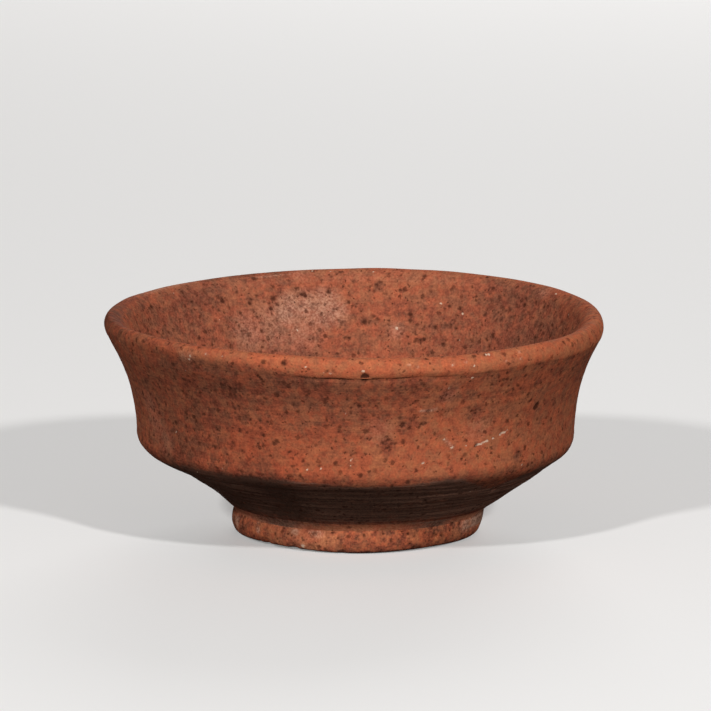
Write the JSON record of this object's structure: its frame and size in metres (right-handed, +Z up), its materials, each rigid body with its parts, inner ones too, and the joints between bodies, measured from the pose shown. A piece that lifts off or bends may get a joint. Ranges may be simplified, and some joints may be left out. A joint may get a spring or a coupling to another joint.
{
  "type": "carinated bowl",
  "caption": "Small carinated pottery bowl with a rounded lip, conical lower wall and ring foot, slip coated inside and out, for holding food or sauce.",
  "frame": {"origin": "centre of the face that the foot ring stands on", "axes": "+Z up along the bowl's axis of revolution; the pictured side faces -Y, with +X to its right"},
  "size_m": [0.0814, 0.0814, 0.0359],
  "materials": {
    "body_clay": "matt fired clay, worn through the slip",
    "foot_clay": "matt fired clay",
    "luting_clay": "matt fired clay",
    "outer_slip": "worn matt red slip",
    "inner_slip": "worn matt red slip"
  },
  "bodies": {
    "root": {"bowl_body": "body_clay", "foot_ring": "foot_clay", "luting_slip": "luting_clay", "outer_slip_coat": "outer_slip", "inner_slip_coat": "inner_slip"}
  },
  "joints": []
}
